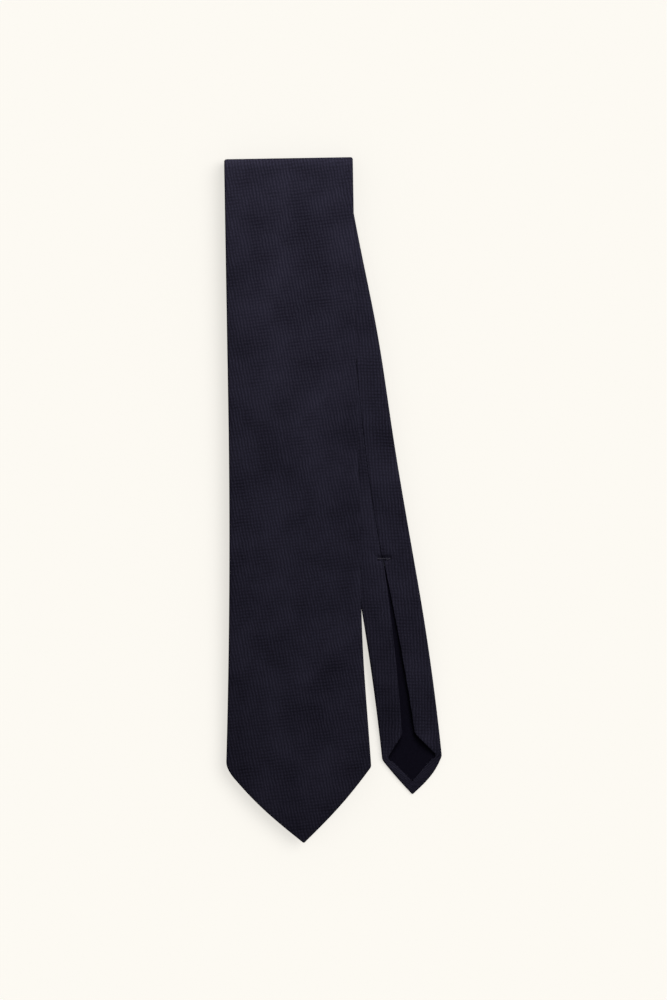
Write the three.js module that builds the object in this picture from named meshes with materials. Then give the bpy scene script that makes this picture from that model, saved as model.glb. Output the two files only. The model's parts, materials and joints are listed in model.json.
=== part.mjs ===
// A gentleman's necktie, folded in four and laid on a table, in millimetres with +Z up.
//
// The tie is one long bias-cut strip. From the top of the pile down lie the wide front blade
// (face up), the narrow tail (seam side up, fanned out to the right), and under them the rear
// halves of tail and blade, which meet in the fold at the neck. Every stretch of shell is a
// flat sleeve: a face sheet turned over at both long edges, whose two flaps meet in a seam at
// the back. The interlining and the tippings lie inside. The origin is at the middle of the
// pile's bottom.

import * as THREE from 'three';

// ---- cloth ----------------------------------------------------------------------------
const CLEAR = 0.3;
const SHELL = 0.4;
const INTERLINING = 0.7;
const LINING = 0.2;
const LEAF = 2 * SHELL + INTERLINING + LINING + 3 * CLEAR;
const PITCH = LEAF + CLEAR;
const SLIT = 1.0;
const THREAD = 0.4;
const SHELL_POINT = 0.5;
const INNER_POINT = 3.5;

// Heights are measured from a leaf's face sheet towards its seam side.
const SHELL_HEIGHTS = [0, SHELL, LEAF - SHELL, LEAF];
const INTERLINING_HEIGHTS = [SHELL + CLEAR, SHELL + CLEAR + INTERLINING];
const LINING_HEIGHTS = [LEAF - SHELL - CLEAR - LINING, LEAF - SHELL - CLEAR];
const THREAD_HEIGHTS = [LEAF - THREAD, LEAF];

// ---- where the pile is folded -----------------------------------------------------------
const REAR_BLADE_Z = 0;
const REAR_TAIL_Z = PITCH;
const TAIL_Z = 2 * PITCH;
const BLADE_Z = 3 * PITCH;
const TOP_AXIS_Z = 2 * PITCH - CLEAR / 2;
const NECK_AXIS_Z = PITCH - CLEAR / 2;

const degrees = THREE.MathUtils.degToRad;
const BLADE_CREASE = { x: -24.45, y: 182.1, lean: degrees(0.97) };
const TAIL_CREASE = { x: -9.9, y: 179.2, lean: degrees(3.86) };
const NECK_CREASE = { x: -18.6, y: -162.0, lean: degrees(-0.26) };

// ---- front blade ------------------------------------------------------------------------
const BLADE = {
  foldHalf: 35.4,
  cornerHalf: 40.0,
  flareStart: 130,
  corner: 329.5,
  apex: 371.0,
  apexShift: 2.1,
  tack: 244,
  mouth: 296,
  mouthHalf: 9,
  hem: 5.5,
  tippingStart: 262,
};
const SAG_LEFT = 2.6;
const SAG_RIGHT = 0.4;
const SAG_TIP = 2.0;

// ---- tail ---------------------------------------------------------------------------------
const TAIL = {
  foldHalf: 17.1,
  cornerHalf: 16.5,
  lean: 0.108,
  bendStart: 228,
  bend: 0.00037,
  corner: 324.4,
  apex: 344.5,
  apexShift: -1.15,
  tack: 213,
  mouth: 306,
  mouthHalf: 3.6,
  hem: 3.6,
  tippingStart: 232,
};
const DROOP = TAIL_Z - CLEAR;
const DROOP_START = 236;
const DROOP_END = 322;

// ---- rear halves -----------------------------------------------------------------------
const NECK_HALF = 18.0;
const REAR_TAIL_HALF = 17.3;
const FIRST_SEAM = 55;
const SECOND_SEAM = 284;

// ---- keeper loop and bar tacks ------------------------------------------------------------
const KEEPER = { half: 18, height: 12, band: 0.5, end: 3, passage: 0.5, down: 207 };
const TACK = { length: 7.4, height: 1.1, thickness: 0.5 };

// ---- finishes ------------------------------------------------------------------------------
const NAVY = 0x1c1a28;
const LINING_NAVY = 0x14131d;
const WOOL = 0x3a3a40;
const SILK_THREAD = 0x8c8a94;
const SEWING_THREAD = 0x23212f;

const clamp = THREE.MathUtils.clamp;
const lerp = THREE.MathUtils.lerp;
const ramp = THREE.MathUtils.smoothstep;

function steps(from, to, count) {
  return Array.from({ length: count + 1 }, (_, i) => lerp(from, to, i / count));
}

// ---- sections ------------------------------------------------------------------------------
// A section's x is a place in a station's list of columns, and its y a place in the list of
// heights. The shell's columns are: left edge, inside of the left turn, edge of the left flap,
// seam, edge of the right flap, inside of the right turn, right edge.
function sectionOf(points) {
  return new THREE.Shape(points.map(([x, y]) => new THREE.Vector2(x, y)));
}

const SHELL_SECTION = sectionOf([
  [0, 0], [3, 0], [6, 0], [6, 3], [4, 3], [4, 2], [5, 2],
  [5, 1], [3, 1], [1, 1], [1, 2], [2, 2], [2, 3], [0, 3],
]);

const SHEET_SECTION = sectionOf([[0, 0], [1, 0], [2, 0], [2, 1], [1, 1], [0, 1]]);

const THREAD_SECTION = sectionOf([[0, 0], [1, 0], [1, 1], [0, 1]]);

function shellColumns(left, right, seam, opening) {
  const width = right - left;
  const turn = Math.min(SHELL, 0.2 * width);
  const slit = Math.min(SLIT / 2, 0.06 * width);
  const leftFlap = clamp(seam - opening, left + turn + 0.08 * width, seam - slit);
  const rightFlap = clamp(seam + opening, seam + slit, right - turn - 0.08 * width);
  return [left, left + turn, leftFlap, seam, rightFlap, right - turn, right];
}

function sheetColumns(left, right, middle) {
  return [left, middle, right];
}

// Sweeps a section through stations. Each station holds the face point on the leaf's centre
// line, unit vectors across the leaf, from face to seam side and along the strip, and how far
// the cloth sinks at a distance u from the centre line.
function sweep(section, stations, heights) {
  const last = stations.length - 1;
  const geometry = new THREE.ExtrudeGeometry(section, { depth: last, steps: last, bevelEnabled: false });
  const position = geometry.getAttribute('position');
  const point = new THREE.Vector3();
  for (let i = 0; i < position.count; i += 1) {
    const station = stations[Math.round(position.getZ(i))];
    const u = station.columns[Math.round(position.getX(i))];
    point.copy(station.face);
    point.addScaledVector(station.across, u);
    point.addScaledVector(station.inward, heights[Math.round(position.getY(i))]);
    point.addScaledVector(station.along, station.skew * u);
    point.z -= station.sink(u);
    position.setXYZ(i, point.x, point.y, point.z);
  }
  geometry.computeVertexNormals();
  return geometry;
}

function station(face, across, inward, columns, sink = () => 0) {
  return { face, across, inward, columns, sink, along: new THREE.Vector3(), skew: 0 };
}

function piece(name, geometry, color, roughness = 0.85) {
  const material = new THREE.MeshStandardMaterial({ color, roughness, metalness: 0 });
  const mesh = new THREE.Mesh(geometry, material);
  mesh.name = name;
  return mesh;
}

// ---- outlines of the two ends ---------------------------------------------------------------
function bladeHalf(v) {
  const flare = clamp((v - BLADE.flareStart) / (BLADE.corner - BLADE.flareStart), 0, 1);
  return lerp(BLADE.foldHalf, BLADE.cornerHalf, flare * flare);
}

function tailHalf(v) {
  return lerp(TAIL.foldHalf, TAIL.cornerHalf, clamp(v / TAIL.corner, 0, 1));
}

function tailCentre(v) {
  const bent = Math.max(0, v - TAIL.bendStart);
  return TAIL.lean * v - TAIL.bend * bent * bent;
}

// Left and right edge of a pointed leaf, v below its crease.
function pointedEdges(leaf, centre, half, v) {
  const straight = Math.min(v, leaf.corner);
  const tip = clamp((v - leaf.corner) / (leaf.apex - leaf.corner), 0, 1);
  const middle = lerp(centre(straight), centre(leaf.corner) + leaf.apexShift, tip);
  const left = lerp(centre(straight) - half(straight), middle, tip);
  const right = lerp(centre(straight) + half(straight), middle, tip);
  return [left, right];
}

// Half the distance between the flaps' free edges, and in the point between the turned hems.
function flapOpening(leaf, half, v) {
  const slit = SLIT / 2;
  const wide = half(leaf.corner) - leaf.hem;
  const closed = leaf.apex - 1.6 * leaf.hem;
  if (v <= leaf.tack) {
    return slit;
  }
  if (v <= leaf.mouth) {
    return lerp(slit, leaf.mouthHalf, (v - leaf.tack) / (leaf.mouth - leaf.tack));
  }
  if (v <= leaf.corner) {
    return lerp(leaf.mouthHalf, wide, (v - leaf.mouth) / (leaf.corner - leaf.mouth));
  }
  return Math.max(slit, lerp(wide, slit, (v - leaf.corner) / (closed - leaf.corner)));
}

// Distances below the crease at which all sheets of a pointed leaf have their stations. The
// shell reaches a little further into the point.
function pointedRows(leaf) {
  return [
    ...steps(CLEAR, leaf.tack, 11),
    ...steps(leaf.tack, leaf.mouth, 4).slice(1),
    ...steps(leaf.mouth, leaf.corner, 2).slice(1),
    ...steps(leaf.corner, leaf.apex - INNER_POINT, 5).slice(1),
  ];
}

function shellRows(leaf) {
  return [...pointedRows(leaf), leaf.apex - SHELL_POINT];
}

function tippingRows(leaf) {
  return pointedRows(leaf).filter((v) => v > leaf.tippingStart);
}

// ---- how the two ends settle -----------------------------------------------------------------
// The blade's edges and tip sink where nothing lies below them, more on the left than on the
// right, where the tail bears them.
function bladeSink(v) {
  const wide = clamp(v / BLADE.corner, 0, 1) ** 2;
  const tip = clamp((v - rearLength) / (BLADE.apex - rearLength), 0, 1) ** 2;
  return (u) => {
    const sag = u < 0 ? SAG_LEFT : SAG_RIGHT;
    return sag * wide * Math.abs(u) / BLADE.cornerHalf + SAG_TIP * tip;
  };
}

// The tail leaves the pile and comes down to the table.
function tailSink(v) {
  return () => DROOP * ramp(v, DROOP_START, DROOP_END);
}

const rearLength = BLADE_CREASE.y - NECK_CREASE.y;

function rearBladeHalf(v) {
  return lerp(BLADE.foldHalf, NECK_HALF, v / rearLength);
}

// ---- front blade, in the frame of its crease ----------------------------------------------------
const ACROSS = new THREE.Vector3(1, 0, 0);
const UP = new THREE.Vector3(0, 0, 1);
const DOWN = new THREE.Vector3(0, 0, -1);

// Rows run from the tip to the crease, so that the strip keeps one direction round the fold.
function bladeStations(rows, columnsAt) {
  const face = BLADE_Z + LEAF;
  const at = (v) => station(new THREE.Vector3(0, -v, face), ACROSS, DOWN, columnsAt(v), bladeSink(v));
  return [...rows].reverse().map(at);
}

const straightCentre = () => 0;
const bladeEdges = (v) => pointedEdges(BLADE, straightCentre, bladeHalf, v);

// A sheet that lies inside the shell, clear of its turned edges.
function innerColumns([left, right]) {
  return sheetColumns(left + SHELL + CLEAR, right - SHELL - CLEAR, (left + right) / 2);
}

function bladeColumns(v) {
  const [left, right] = bladeEdges(v);
  return shellColumns(left, right, (left + right) / 2, flapOpening(BLADE, bladeHalf, v));
}

function bladeFront() {
  return sweep(SHELL_SECTION, bladeStations(shellRows(BLADE), bladeColumns), SHELL_HEIGHTS);
}

function bladeInner(rows, heights) {
  const stations = bladeStations(rows, (v) => innerColumns(bladeEdges(v)));
  return sweep(SHEET_SECTION, stations, heights);
}

function bladeSlipStitch() {
  const rows = steps(CLEAR, BLADE.tack - 2, 8);
  const stations = bladeStations(rows, () => [-THREAD / 2, THREAD / 2]);
  return sweep(THREAD_SECTION, stations, THREAD_HEIGHTS);
}

// Lowers a piece sewn to the blade's back by as much as the blade sinks there.
function settle(geometry, down) {
  const position = geometry.getAttribute('position');
  for (let i = 0; i < position.count; i += 1) {
    const sink = bladeSink(down - position.getY(i));
    position.setZ(i, position.getZ(i) - sink(position.getX(i)));
  }
  geometry.computeVertexNormals();
  return geometry;
}

// A short bar with round ends, lying flat.
function barTack() {
  const r = TACK.height / 2;
  const reach = TACK.length / 2 - r;
  const outline = new THREE.Shape();
  outline.absarc(reach, 0, r, -Math.PI / 2, Math.PI / 2);
  outline.absarc(-reach, 0, r, Math.PI / 2, 1.5 * Math.PI);
  const options = { depth: TACK.thickness, bevelEnabled: false, curveSegments: 4 };
  return new THREE.ExtrudeGeometry(outline, options);
}

// A flat band sewn down at both ends, with a passage behind it for the tail.
function keeperLoop() {
  const { half, height, band, end, passage } = KEEPER;
  const outline = sectionOf([
    [-half, 0], [half, 0], [half, band + passage], [half - end, band + passage],
    [half - end, band], [-half + end, band], [-half + end, band + passage], [-half, band + passage],
  ]);
  const geometry = new THREE.ExtrudeGeometry(outline, { depth: height, bevelEnabled: false });
  geometry.rotateX(Math.PI / 2);
  geometry.translate(0, height / 2, 0);
  return geometry;
}

// ---- half-round wraps at the creases -------------------------------------------------------------
const WRAP_STEPS = 10;

// Round an axis along X at height axisZ, from the lower leaf up to the upper one. Where the face
// is on the outside the face radius is the larger one.
function wrapStations(axisZ, faceRadius, outerFace, columns) {
  return steps(-Math.PI / 2, Math.PI / 2, WRAP_STEPS).map((angle) => {
    const radial = new THREE.Vector3(0, Math.cos(angle), Math.sin(angle));
    const face = new THREE.Vector3(0, 0, axisZ).addScaledVector(radial, faceRadius);
    const inward = radial.clone().multiplyScalar(outerFace ? -1 : 1);
    return station(face, ACROSS, inward, columns);
  });
}

const BLADE_FOLD_RADIUS = TOP_AXIS_Z;
const TAIL_FOLD_RADIUS = CLEAR / 2;

// The blade's wrap runs down from the blade to the rear half, its face outside.
function bladeFold(section, columns, heights) {
  const stations = wrapStations(TOP_AXIS_Z, BLADE_FOLD_RADIUS, true, columns).reverse();
  return sweep(section, stations, heights);
}

// The tail's wrap runs up from the rear half to the tail, its face inside.
function tailFold(section, columns, heights) {
  return sweep(section, wrapStations(TOP_AXIS_Z, TAIL_FOLD_RADIUS, false, columns), heights);
}

// ---- tail, in the frame of its crease ----------------------------------------------------------
const tailEdges = (v) => pointedEdges(TAIL, tailCentre, tailHalf, v);

function tailStations(rows, columnsAt) {
  return rows.map((v) => station(new THREE.Vector3(0, -v, TAIL_Z), ACROSS, UP, columnsAt(v), tailSink(v)));
}

function tailColumns(v) {
  const [left, right] = tailEdges(v);
  return shellColumns(left, right, (left + right) / 2, flapOpening(TAIL, tailHalf, v));
}

function tailFront() {
  return sweep(SHELL_SECTION, tailStations(shellRows(TAIL), tailColumns), SHELL_HEIGHTS);
}

function tailInner(rows, heights) {
  return sweep(SHEET_SECTION, tailStations(rows, (v) => innerColumns(tailEdges(v))), heights);
}

function tailSlipStitch() {
  const rows = steps(CLEAR, TAIL.tack - 2, 8);
  const stations = tailStations(rows, (v) => [tailCentre(v) - THREAD / 2, tailCentre(v) + THREAD / 2]);
  return sweep(THREAD_SECTION, stations, THREAD_HEIGHTS);
}

// ---- rear halves: down from the blade's crease, round the neck, up to the tail's crease -------------
const tailRise = Math.hypot(TAIL_CREASE.x - NECK_CREASE.x, TAIL_CREASE.y - NECK_CREASE.y);

function creaseAcross(lean) {
  return new THREE.Vector3(Math.cos(lean), Math.sin(lean), 0);
}

// A station t of the way between two creases, on the straight line that joins them.
function rearStation(from, to, t, faceZ, inward, columns) {
  const face = new THREE.Vector3(lerp(from.x, to.x, t), lerp(from.y, to.y, t), faceZ);
  return station(face, creaseAcross(lerp(from.lean, to.lean, t)), inward, columns);
}

function rearBladeStations(columnsOf) {
  return steps(CLEAR, rearLength, 14).map((v) => {
    const columns = columnsOf(rearBladeHalf(v));
    return rearStation(BLADE_CREASE, NECK_CREASE, v / rearLength, REAR_BLADE_Z, UP, columns);
  });
}

// The neck's wrap opens upwards: its face is outside and its axis lies along the neck's crease.
function neckStations(columnsOf) {
  const across = creaseAcross(NECK_CREASE.lean);
  const columns = columnsOf(NECK_HALF);
  return steps(-Math.PI / 2, -1.5 * Math.PI, WRAP_STEPS).slice(1, -1).map((angle) => {
    const radial = new THREE.Vector3(0, Math.cos(angle), Math.sin(angle));
    const face = new THREE.Vector3(NECK_CREASE.x, NECK_CREASE.y, NECK_AXIS_Z);
    face.addScaledVector(radial, NECK_AXIS_Z);
    return station(face, across, radial.clone().negate(), columns);
  });
}

// Stations on the rear tail at the given distances above the neck. The skew slants the ends at
// the piecing seams.
function rearTailStations(rows, columnsOf) {
  const rise = new THREE.Vector3(TAIL_CREASE.x - NECK_CREASE.x, TAIL_CREASE.y - NECK_CREASE.y, 0);
  const along = rise.divideScalar(tailRise);
  return rows.map(([w, skew]) => {
    const t = w / tailRise;
    const columns = columnsOf(lerp(NECK_HALF, REAR_TAIL_HALF, t));
    const level = rearStation(NECK_CREASE, TAIL_CREASE, t, REAR_TAIL_Z + LEAF, DOWN, columns);
    return { ...level, along, skew };
  });
}

const BLADE_PIECING_ROWS = [[0, 0], [12, 0], [26, 0.35], [FIRST_SEAM, 1]];
const GUSSET_ROWS = [
  [FIRST_SEAM + 1.5 * CLEAR, 1],
  [FIRST_SEAM + 40, 0.3],
  ...steps(FIRST_SEAM + 70, SECOND_SEAM - 70, 4).map((w) => [w, 0]),
  [SECOND_SEAM - 40, 0.3],
  [SECOND_SEAM - 1.5 * CLEAR, 1],
];
const TAIL_PIECING_ROWS = [[SECOND_SEAM, 1], [SECOND_SEAM + 28, 0.35], [tailRise - CLEAR, 0]];

const shellOf = (half) => shellColumns(-half, half, 0, SLIT / 2);
const sheetOf = (half) => innerColumns([-half, half]);
const threadOf = () => [-THREAD / 2, THREAD / 2];

function rearRun(section, columnsOf, heights, rows) {
  const stations = [
    ...rearBladeStations(columnsOf),
    ...neckStations(columnsOf),
    ...rearTailStations(rows, columnsOf),
  ];
  return sweep(section, stations, heights);
}

function rearTailRun(rows) {
  return sweep(SHELL_SECTION, rearTailStations(rows, shellOf), SHELL_HEIGHTS);
}

// ---- assembly --------------------------------------------------------------------------------------
function creaseGroup({ x, y, lean }) {
  const group = new THREE.Group();
  group.position.set(x, y, 0);
  group.rotation.z = lean;
  return group;
}

const wholeRearRows = [0, 12, 26, FIRST_SEAM, 125, 195, SECOND_SEAM, tailRise - CLEAR].map((w) => [w, 0]);

const rear = new THREE.Group();
rear.add(
  piece('blade_panel_rear', rearRun(SHELL_SECTION, shellOf, SHELL_HEIGHTS, BLADE_PIECING_ROWS), NAVY),
  piece('neck_gusset', rearTailRun(GUSSET_ROWS), NAVY),
  piece('tail_panel_rear', rearTailRun(TAIL_PIECING_ROWS), NAVY),
  piece('neck_interlining', rearRun(SHEET_SECTION, sheetOf, INTERLINING_HEIGHTS, wholeRearRows), WOOL),
  piece('rear_slip_stitch', rearRun(THREAD_SECTION, threadOf, THREAD_HEIGHTS, wholeRearRows), SEWING_THREAD),
);

const bladeFrame = creaseGroup(BLADE_CREASE);
const bladeTack = piece('blade_bar_tack', settle(barTack(), BLADE.tack), SILK_THREAD, 0.6);
bladeTack.position.set(0, -BLADE.tack, BLADE_Z - CLEAR - TACK.thickness);
const keeper = piece('keeper_loop', settle(keeperLoop(), KEEPER.down), NAVY);
keeper.position.set(0, -KEEPER.down, BLADE_Z - CLEAR - KEEPER.band - KEEPER.passage);
bladeFrame.add(
  piece('blade_panel_front', bladeFront(), NAVY),
  piece('blade_interlining', bladeInner(pointedRows(BLADE), INTERLINING_HEIGHTS), WOOL),
  piece('blade_tipping', bladeInner(tippingRows(BLADE), LINING_HEIGHTS), LINING_NAVY, 0.5),
  piece('blade_slip_stitch', bladeSlipStitch(), SEWING_THREAD),
  bladeTack,
  keeper,
  piece('blade_fold', bladeFold(SHELL_SECTION, shellOf(BLADE.foldHalf), SHELL_HEIGHTS), NAVY),
  piece(
    'blade_fold_interlining',
    bladeFold(SHEET_SECTION, sheetOf(BLADE.foldHalf), INTERLINING_HEIGHTS),
    WOOL,
  ),
);

const tailFrame = creaseGroup(TAIL_CREASE);
const tailTack = piece('tail_bar_tack', barTack(), SILK_THREAD, 0.6);
tailTack.position.set(tailCentre(TAIL.tack), -TAIL.tack, TAIL_Z + LEAF + CLEAR);
tailFrame.add(
  piece('tail_panel_front', tailFront(), NAVY),
  piece('tail_interlining', tailInner(pointedRows(TAIL), INTERLINING_HEIGHTS), WOOL),
  piece('tail_tipping', tailInner(tippingRows(TAIL), LINING_HEIGHTS), LINING_NAVY, 0.5),
  piece('tail_slip_stitch', tailSlipStitch(), SEWING_THREAD),
  tailTack,
  piece('tail_fold', tailFold(SHELL_SECTION, shellOf(TAIL.foldHalf), SHELL_HEIGHTS), NAVY),
  piece(
    'tail_fold_interlining',
    tailFold(SHEET_SECTION, sheetOf(TAIL.foldHalf), INTERLINING_HEIGHTS),
    WOOL,
  ),
);

const necktie = new THREE.Group();
necktie.add(rear, tailFrame, bladeFrame);

export default necktie;
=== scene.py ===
"""A gentleman's navy silk necktie, folded in four and laid on a pale table.

The tie is one long bias-cut strip. From the top of the pile down lie the wide front blade,
face up, the narrow tail, seam side up and fanned out to the right, and the rear halves of both,
which meet in the fold at the neck. Lengths are in millimetres until a mesh is made.
"""

import json
import logging
import math
from collections.abc import Callable, Sequence
from dataclasses import dataclass, field, replace
from enum import Enum

import bpy
import numpy as np
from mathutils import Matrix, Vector, noise


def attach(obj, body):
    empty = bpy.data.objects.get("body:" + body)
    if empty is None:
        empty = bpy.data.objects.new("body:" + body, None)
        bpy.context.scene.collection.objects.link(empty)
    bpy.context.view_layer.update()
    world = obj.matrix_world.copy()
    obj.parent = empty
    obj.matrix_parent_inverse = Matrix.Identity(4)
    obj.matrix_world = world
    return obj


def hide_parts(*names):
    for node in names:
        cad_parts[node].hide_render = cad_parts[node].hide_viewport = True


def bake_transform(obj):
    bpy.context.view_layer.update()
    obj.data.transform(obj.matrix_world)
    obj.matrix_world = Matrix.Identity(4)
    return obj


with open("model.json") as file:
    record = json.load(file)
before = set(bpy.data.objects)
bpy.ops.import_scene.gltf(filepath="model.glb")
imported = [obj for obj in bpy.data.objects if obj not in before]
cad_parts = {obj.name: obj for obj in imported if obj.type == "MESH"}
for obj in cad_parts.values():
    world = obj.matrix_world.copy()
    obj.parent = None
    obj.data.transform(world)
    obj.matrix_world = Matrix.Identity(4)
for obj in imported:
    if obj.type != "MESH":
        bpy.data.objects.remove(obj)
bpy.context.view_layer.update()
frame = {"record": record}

MM = 0.001
LOG = logging.getLogger("necktie")
Edge = tuple[float, float]
Grid = np.ndarray


class Slot(Enum):
    """The record's material slots."""

    SHELL = "shell_silk"
    WOOL = "interlining_wool"
    LINING = "tipping_lining"
    TACK = "tack_thread"
    SEWING = "sewing_thread"


class Body(Enum):
    """The bodies that pieces ride on."""

    REAR = "rear"
    BLADE = "blade"
    TAIL = "tail"


# ---- shader graphs ----

CLOTH_MAP = "cloth"
TURN = 2 * math.pi


def tint(red: float, green: float, blue: float, share: float = 1.0) -> tuple[float, ...]:
    """A linear colour with alpha, scaled by share."""
    return (red * share, green * share, blue * share, 1.0)


def link_new(name: str, data: bpy.types.ID) -> bpy.types.Object:
    """A new object of the scene, with its data."""
    made = bpy.data.objects.new(name, data)
    bpy.context.scene.collection.objects.link(made)
    return made


class Wiring:
    """A node tree that is wired by the names of its sockets."""

    def __init__(self, tree: bpy.types.NodeTree) -> None:
        """Takes the tree to wire."""
        self.tree = tree

    def feed(self, entry: bpy.types.NodeSocket, value: object) -> None:
        """Links or sets one input.

        Args:
            entry: the input.
            value: a number, a tuple, a socket or a value.
        """
        value = getattr(value, "socket", value)
        if isinstance(value, bpy.types.NodeSocket):
            self.tree.links.new(value, entry)
        else:
            entry.default_value = value

    def add(self, kind: str, settings: dict, sockets: dict) -> bpy.types.Node:
        """Adds any node.

        Args:
            kind: the node's type.
            settings: its properties, set first.
            sockets: its inputs by name or index.

        Returns:
            The node.
        """
        made = self.tree.nodes.new(kind)
        for key, value in settings.items():
            setattr(made, key, value)
        for key, value in sockets.items():
            self.feed(made.inputs[key], value)
        return made


@dataclass(frozen=True)
class Value:
    """A number socket of a shader graph, or a plain number, with arithmetic."""

    graph: "Graph"
    socket: bpy.types.NodeSocket | float

    def _math(self, operation: str, *others: "Value | float") -> "Value":
        """The result of one Math node on this value and the others."""
        numbers = {i: getattr(o, "socket", o) for i, o in enumerate((self, *others))}
        return self.graph.node("ShaderNodeMath", {"operation": operation}, numbers)

    def __add__(self, other: "Value | float") -> "Value":
        """Sum."""
        return self._math("ADD", other)

    def __mul__(self, other: "Value | float") -> "Value":
        """Product."""
        return self._math("MULTIPLY", other)

    def __sub__(self, other: "Value | float") -> "Value":
        """Difference."""
        return self._math("SUBTRACT", other)

    def __rsub__(self, other: float) -> "Value":
        """Difference from a number."""
        return Value(self.graph, other)._math("SUBTRACT", self)

    __radd__ = __add__
    __rmul__ = __mul__

    def cosine(self) -> "Value":
        """Cosine of the value in radians."""
        return self._math("COSINE")

    def clamped(self) -> "Value":
        """The value held between 0 and 1."""
        return self._math("MAXIMUM", 0.0)._math("MINIMUM", 1.0)


class Graph(Wiring):
    """A material's node tree, with a Principled shader at its end."""

    def __init__(self, name: str) -> None:
        """Starts a material.

        Args:
            name: the material's name.
        """
        self.material = bpy.data.materials.new(name)
        self.material.use_nodes = True
        super().__init__(self.material.node_tree)
        self.tree.nodes.clear()
        self.shader = self.tree.nodes.new("ShaderNodeBsdfPrincipled")
        output = self.tree.nodes.new("ShaderNodeOutputMaterial")
        self.tree.links.new(self.shader.outputs[0], output.inputs[0])

    def node(self, kind: str, settings: dict, sockets: dict, output: int | str = 0) -> Value:
        """One output of a new node."""
        return Value(self, self.add(kind, settings, sockets).outputs[output])

    def set(self, **sockets: object) -> None:
        """Feeds the Principled shader, with underscores for spaces."""
        for key, value in sockets.items():
            self.feed(self.shader.inputs[key.replace("_", " ")], value)

    def cloth_place(self, turn: float = 0.0) -> tuple[Value, Value, Value]:
        """Where a point lies on the flat cloth.

        Args:
            turn: how far the weave leans, in degrees.

        Returns:
            The place as a vector, and its two parts, in millimetres.
        """
        flat = self.node("ShaderNodeUVMap", {"uv_map": CLOTH_MAP}, {})
        turned = self.node(
            "ShaderNodeVectorRotate",
            {"rotation_type": "Z_AXIS"},
            {"Vector": flat, "Angle": math.radians(turn)},
        )
        parts = self.add("ShaderNodeSeparateXYZ", {}, {0: turned}).outputs
        return turned, Value(self, parts[0]), Value(self, parts[1])

    def noise(self, place: Value, scale: float, detail: float = 2.0) -> Value:
        """Soft noise from 0 to 1, at so many waves per millimetre and octaves."""
        sockets = {"Vector": place, "Scale": scale, "Detail": detail, "Roughness": 0.55}
        return self.node("ShaderNodeTexNoise", {"noise_dimensions": "2D"}, sockets)

    def between(self, factor: Value, colour: Sequence[float], low: float, high: float) -> Value:
        """A colour that runs from a darker to a lighter share of itself.

        Args:
            factor: where it lies, from 0 to 1.
            colour: the colour, linear.
            low: the darker share.
            high: the lighter share.

        Returns:
            The colour, from a Mix node's colour sockets.
        """
        ends = {6: tint(*colour, low), 7: tint(*colour, high)}
        settings = {"data_type": "RGBA", "clamp_factor": True}
        return self.node("ShaderNodeMix", settings, {0: factor, **ends}, 2)

    def bump(self, height: Value, depth: float, strength: float = 1.0) -> Value:
        """A normal from a height between 0 and 1, worth depth millimetres."""
        sockets = {"Height": height, "Distance": depth * MM, "Strength": strength}
        return self.node("ShaderNodeBump", {}, sockets)


@dataclass(frozen=True)
class HopsackSilk:
    """Navy silk in a small basket weave: round cells in crossing ribs, on the bias, with the weave's shade
    painted into its colour.
    """

    name: str = "navy_hopsack_silk"
    rib: float = 1.70
    pick: float = 1.80
    rib_lean: float = 10.0
    pick_lean: float = 5.0
    navy: tuple[float, float, float] = (0.0152, 0.0141, 0.0236)
    # Darkest and lightest shares of the navy: they span the painted shade of the weave's hollows and raised
    # cells, and the random slub and mottle tone.
    dark_share: float = 0.35
    light_share: float = 1.75
    cell_depth: float = 0.17
    yarns_per_cell: float = 4.0
    wander: float = 2.6
    wander_scale: float = 0.16
    patch_scale: float = 0.09
    slub_scale: float = 1.3
    mottle_scale: float = 0.045
    shade_weights: tuple[float, float, float] = (0.51, 0.55, 0.66)
    shade_floor: float = 0.385
    roughness: float = 0.66
    sheen: float = 0.02

    def make(self) -> bpy.types.Material:
        """Builds the material.

        Returns:
            The silk, with its weave in colour, roughness and relief; the colour is painted darker in the
            weave's hollows and lighter on its raised cells, a painted shade, with random slub and mottle
            tone besides.
        """
        graph = Graph(self.name)
        place, _, _ = graph.cloth_place()
        wander = graph.noise(place, self.wander_scale, 3.0) * self.wander
        patch = graph.noise(place, self.patch_scale, 3.0)
        _, across, _ = graph.cloth_place(self.rib_lean)
        _, _, along = graph.cloth_place(self.pick_lean)
        rib = ((across + wander * 0.5) * (TURN / self.rib)).cosine()
        pick = ((along + wander * 0.4) * (TURN / self.pick)).cosine()
        ribs, picks = rib * (patch * 0.5 + 0.08), pick * (0.42 - patch * 0.5)
        cells = (ribs + picks + rib * pick * 0.12 + 0.5).clamped()
        yarn = ((across + along) * (TURN * self.yarns_per_cell / self.rib)).cosine() * 0.5 + 0.5
        slub = graph.noise(place, self.slub_scale, 3.0)
        mottle = graph.noise(place, self.mottle_scale, 3.0)
        cell_part, slub_part, mottle_part = self.shade_weights
        # Painted shade: the colour follows the weave's cells, darker in the hollows and lighter on the
        # raised cells; slub and mottle add random tone on top.
        shade = cells * cell_part + slub * slub_part + mottle * mottle_part - self.shade_floor
        relief = cells * 0.8 + yarn * 0.12 + slub * 0.22
        graph.set(
            Base_Color=graph.between(shade.clamped(), self.navy, self.dark_share, self.light_share),
            Roughness=self.roughness - cells * 0.14 + slub * 0.08,
            Specular_IOR_Level=0.0,
            Sheen_Weight=self.sheen,
            Sheen_Roughness=0.4,
            Sheen_Tint=tint(0.5, 0.47, 0.7),
            Normal=graph.bump(relief, self.cell_depth, 0.9),
        )
        return graph.material


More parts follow.
